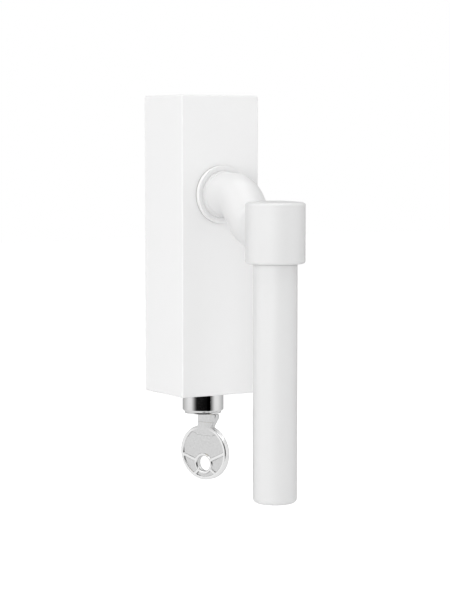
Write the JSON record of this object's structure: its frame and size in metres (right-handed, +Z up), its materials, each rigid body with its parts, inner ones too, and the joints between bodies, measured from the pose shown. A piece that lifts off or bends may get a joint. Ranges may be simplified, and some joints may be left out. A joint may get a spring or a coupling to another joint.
{
  "type": "locking window handle",
  "caption": "White tilt-and-turn window handle on a tall case, with a push lock and key in its underside.",
  "frame": {"origin": "spindle axis in the plane of the window's face", "axes": "+Y into the window, +Z up along the case, -Y towards the user"},
  "size_m": [0.0414, 0.1195, 0.1836],
  "materials": {
    "white_lacquer": "satin white lacquer",
    "white_lacquer_grip": "satin white lacquer",
    "bright_chrome": "polished chrome plate",
    "nickel_plate": "satin nickel plate",
    "plug_brass": "turned brass",
    "wafer_brass": "stamped brass",
    "cast_zinc": "as cast zinc",
    "bright_steel": "zinc plated steel",
    "spring_steel": "tempered spring steel",
    "plain_nylon": "natural nylon"
  },
  "bodies": {
    "base": {"cover": "white_lacquer", "collar_ring": "white_lacquer", "bearing_bush": "plain_nylon", "chassis": "cast_zinc", "chassis_screws": "bright_steel", "back_plate": "cast_zinc", "fixing_screws": "bright_steel", "cover_screw": "bright_steel", "detent_springs": "spring_steel", "lock_stop_pin": "bright_steel", "lock_return_spring": "spring_steel"},
    "lever": {"neck": "white_lacquer_grip", "knuckle": "white_lacquer_grip", "grip": "white_lacquer_grip", "grip_stud": "bright_steel", "spindle": "bright_steel", "spindle_pin": "bright_steel", "thrust_washer": "bright_steel", "lock_disc": "cast_zinc", "detent_cam": "cast_zinc", "retaining_ring": "spring_steel"},
    "lock_barrel": {"lock_barrel": "bright_chrome", "lock_rod": "bright_steel"},
    "lock_plug": {"lock_plug": "plug_brass", "wafer_tumblers": "wafer_brass"},
    "key": {"key": "nickel_plate"}
  },
  "joints": [
    {"name": "lever_turn", "type": "hinge", "parent": "base", "child": "lever", "pos_m": [0, 0, 0], "axis": [0, 1, 0], "range_deg": [-180, 180], "deforming": ["detent_springs"]},
    {"name": "lock_push", "type": "slide", "parent": "base", "child": "lock_barrel", "axis": [0, 0, 1], "range_m": [0, 0.007], "stiffness_N_per_m": 400, "springref_m": -0.004, "deforming": ["lock_return_spring"]},
    {"name": "key_turn", "type": "hinge", "parent": "lock_barrel", "child": "lock_plug", "pos_m": [0, -0.0188, -0.09], "axis": [0, 0, 1], "range_deg": [0, 90]},
    {"name": "key_pull", "type": "slide", "parent": "lock_plug", "child": "key", "axis": [0, 0, -1], "range_m": [0, 0.0235]}
  ]
}
